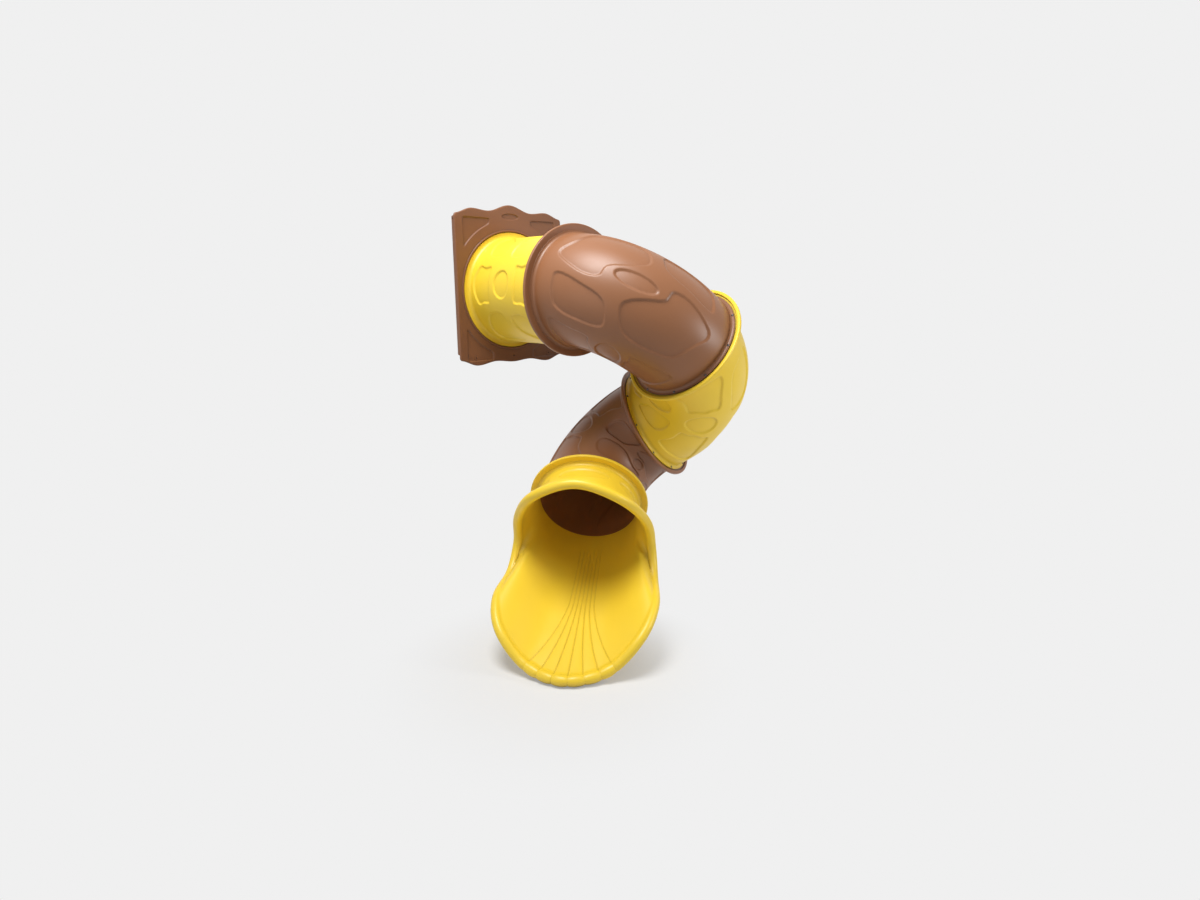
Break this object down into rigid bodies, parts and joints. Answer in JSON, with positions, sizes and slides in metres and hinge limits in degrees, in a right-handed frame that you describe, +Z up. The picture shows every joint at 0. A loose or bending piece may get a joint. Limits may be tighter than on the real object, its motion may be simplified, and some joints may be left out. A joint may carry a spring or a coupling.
{
  "type": "spiral tube slide",
  "caption": "Enclosed spiral tube slide with a flat entry panel, a straight tube, bent tube sections and an open scoop exit, bolted at flanges.",
  "frame": {"origin": "middle hole of the row of platform bolts, on the back face of the entry panel", "axes": "+Z up; +X out of the panel, along the straight entry tube; +Y to the left of the direction of travel"},
  "size_m": [1.826, 2.1128, 3.0884],
  "materials": {
    "brown_plastic": "satin moulded polyethylene, brown",
    "yellow_plastic": "satin moulded polyethylene, yellow",
    "bolt_steel": "stainless steel",
    "insert_brass": "turned brass"
  },
  "bodies": {
    "root": {"entry_panel": "brown_plastic", "entry_tube": "yellow_plastic", "upper_bend": "brown_plastic", "middle_bend": "yellow_plastic", "lower_bend": "brown_plastic", "exit_scoop": "yellow_plastic", "panel_bolts": "bolt_steel", "panel_washers": "bolt_steel", "panel_inserts": "insert_brass", "joint_1_bolts": "bolt_steel", "joint_1_washers": "bolt_steel", "joint_1_inserts": "insert_brass", "joint_2_bolts": "bolt_steel", "joint_2_washers": "bolt_steel", "joint_2_inserts": "insert_brass", "joint_3_bolts": "bolt_steel", "joint_3_washers": "bolt_steel", "joint_3_inserts": "insert_brass", "joint_4_bolts": "bolt_steel", "joint_4_washers": "bolt_steel", "joint_4_inserts": "insert_brass"}
  },
  "joints": []
}
